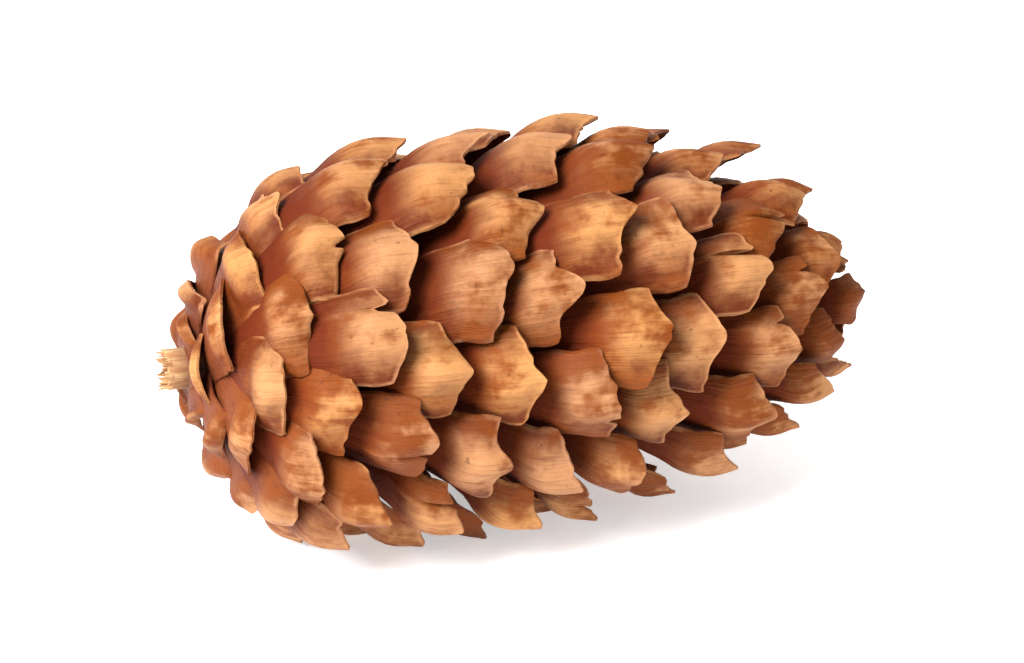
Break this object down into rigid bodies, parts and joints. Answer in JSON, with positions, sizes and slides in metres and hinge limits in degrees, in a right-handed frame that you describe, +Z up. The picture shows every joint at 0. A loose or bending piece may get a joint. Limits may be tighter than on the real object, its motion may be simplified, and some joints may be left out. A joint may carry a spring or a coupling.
{
  "type": "spruce cone",
  "caption": "Ripe open spruce cone lying on its side, with thin woody scales in spirals round a central axis and a broken stalk stub.",
  "frame": {"origin": "on the surface that the cone lies on, under the middle of its box", "axes": "+X along the cone's axis towards its apex, +Z up, away from the surface"},
  "size_m": [0.0609, 0.0343, 0.0338],
  "materials": {
    "scale": "dry ripe cone scale, satin, tan on the exposed face with a paler thin rim and dark red-brown towards the root",
    "stalk": "torn pale wood fibres, matt"
  },
  "bodies": {
    "root": {"cone": "scale", "stalk": "stalk"}
  },
  "joints": []
}
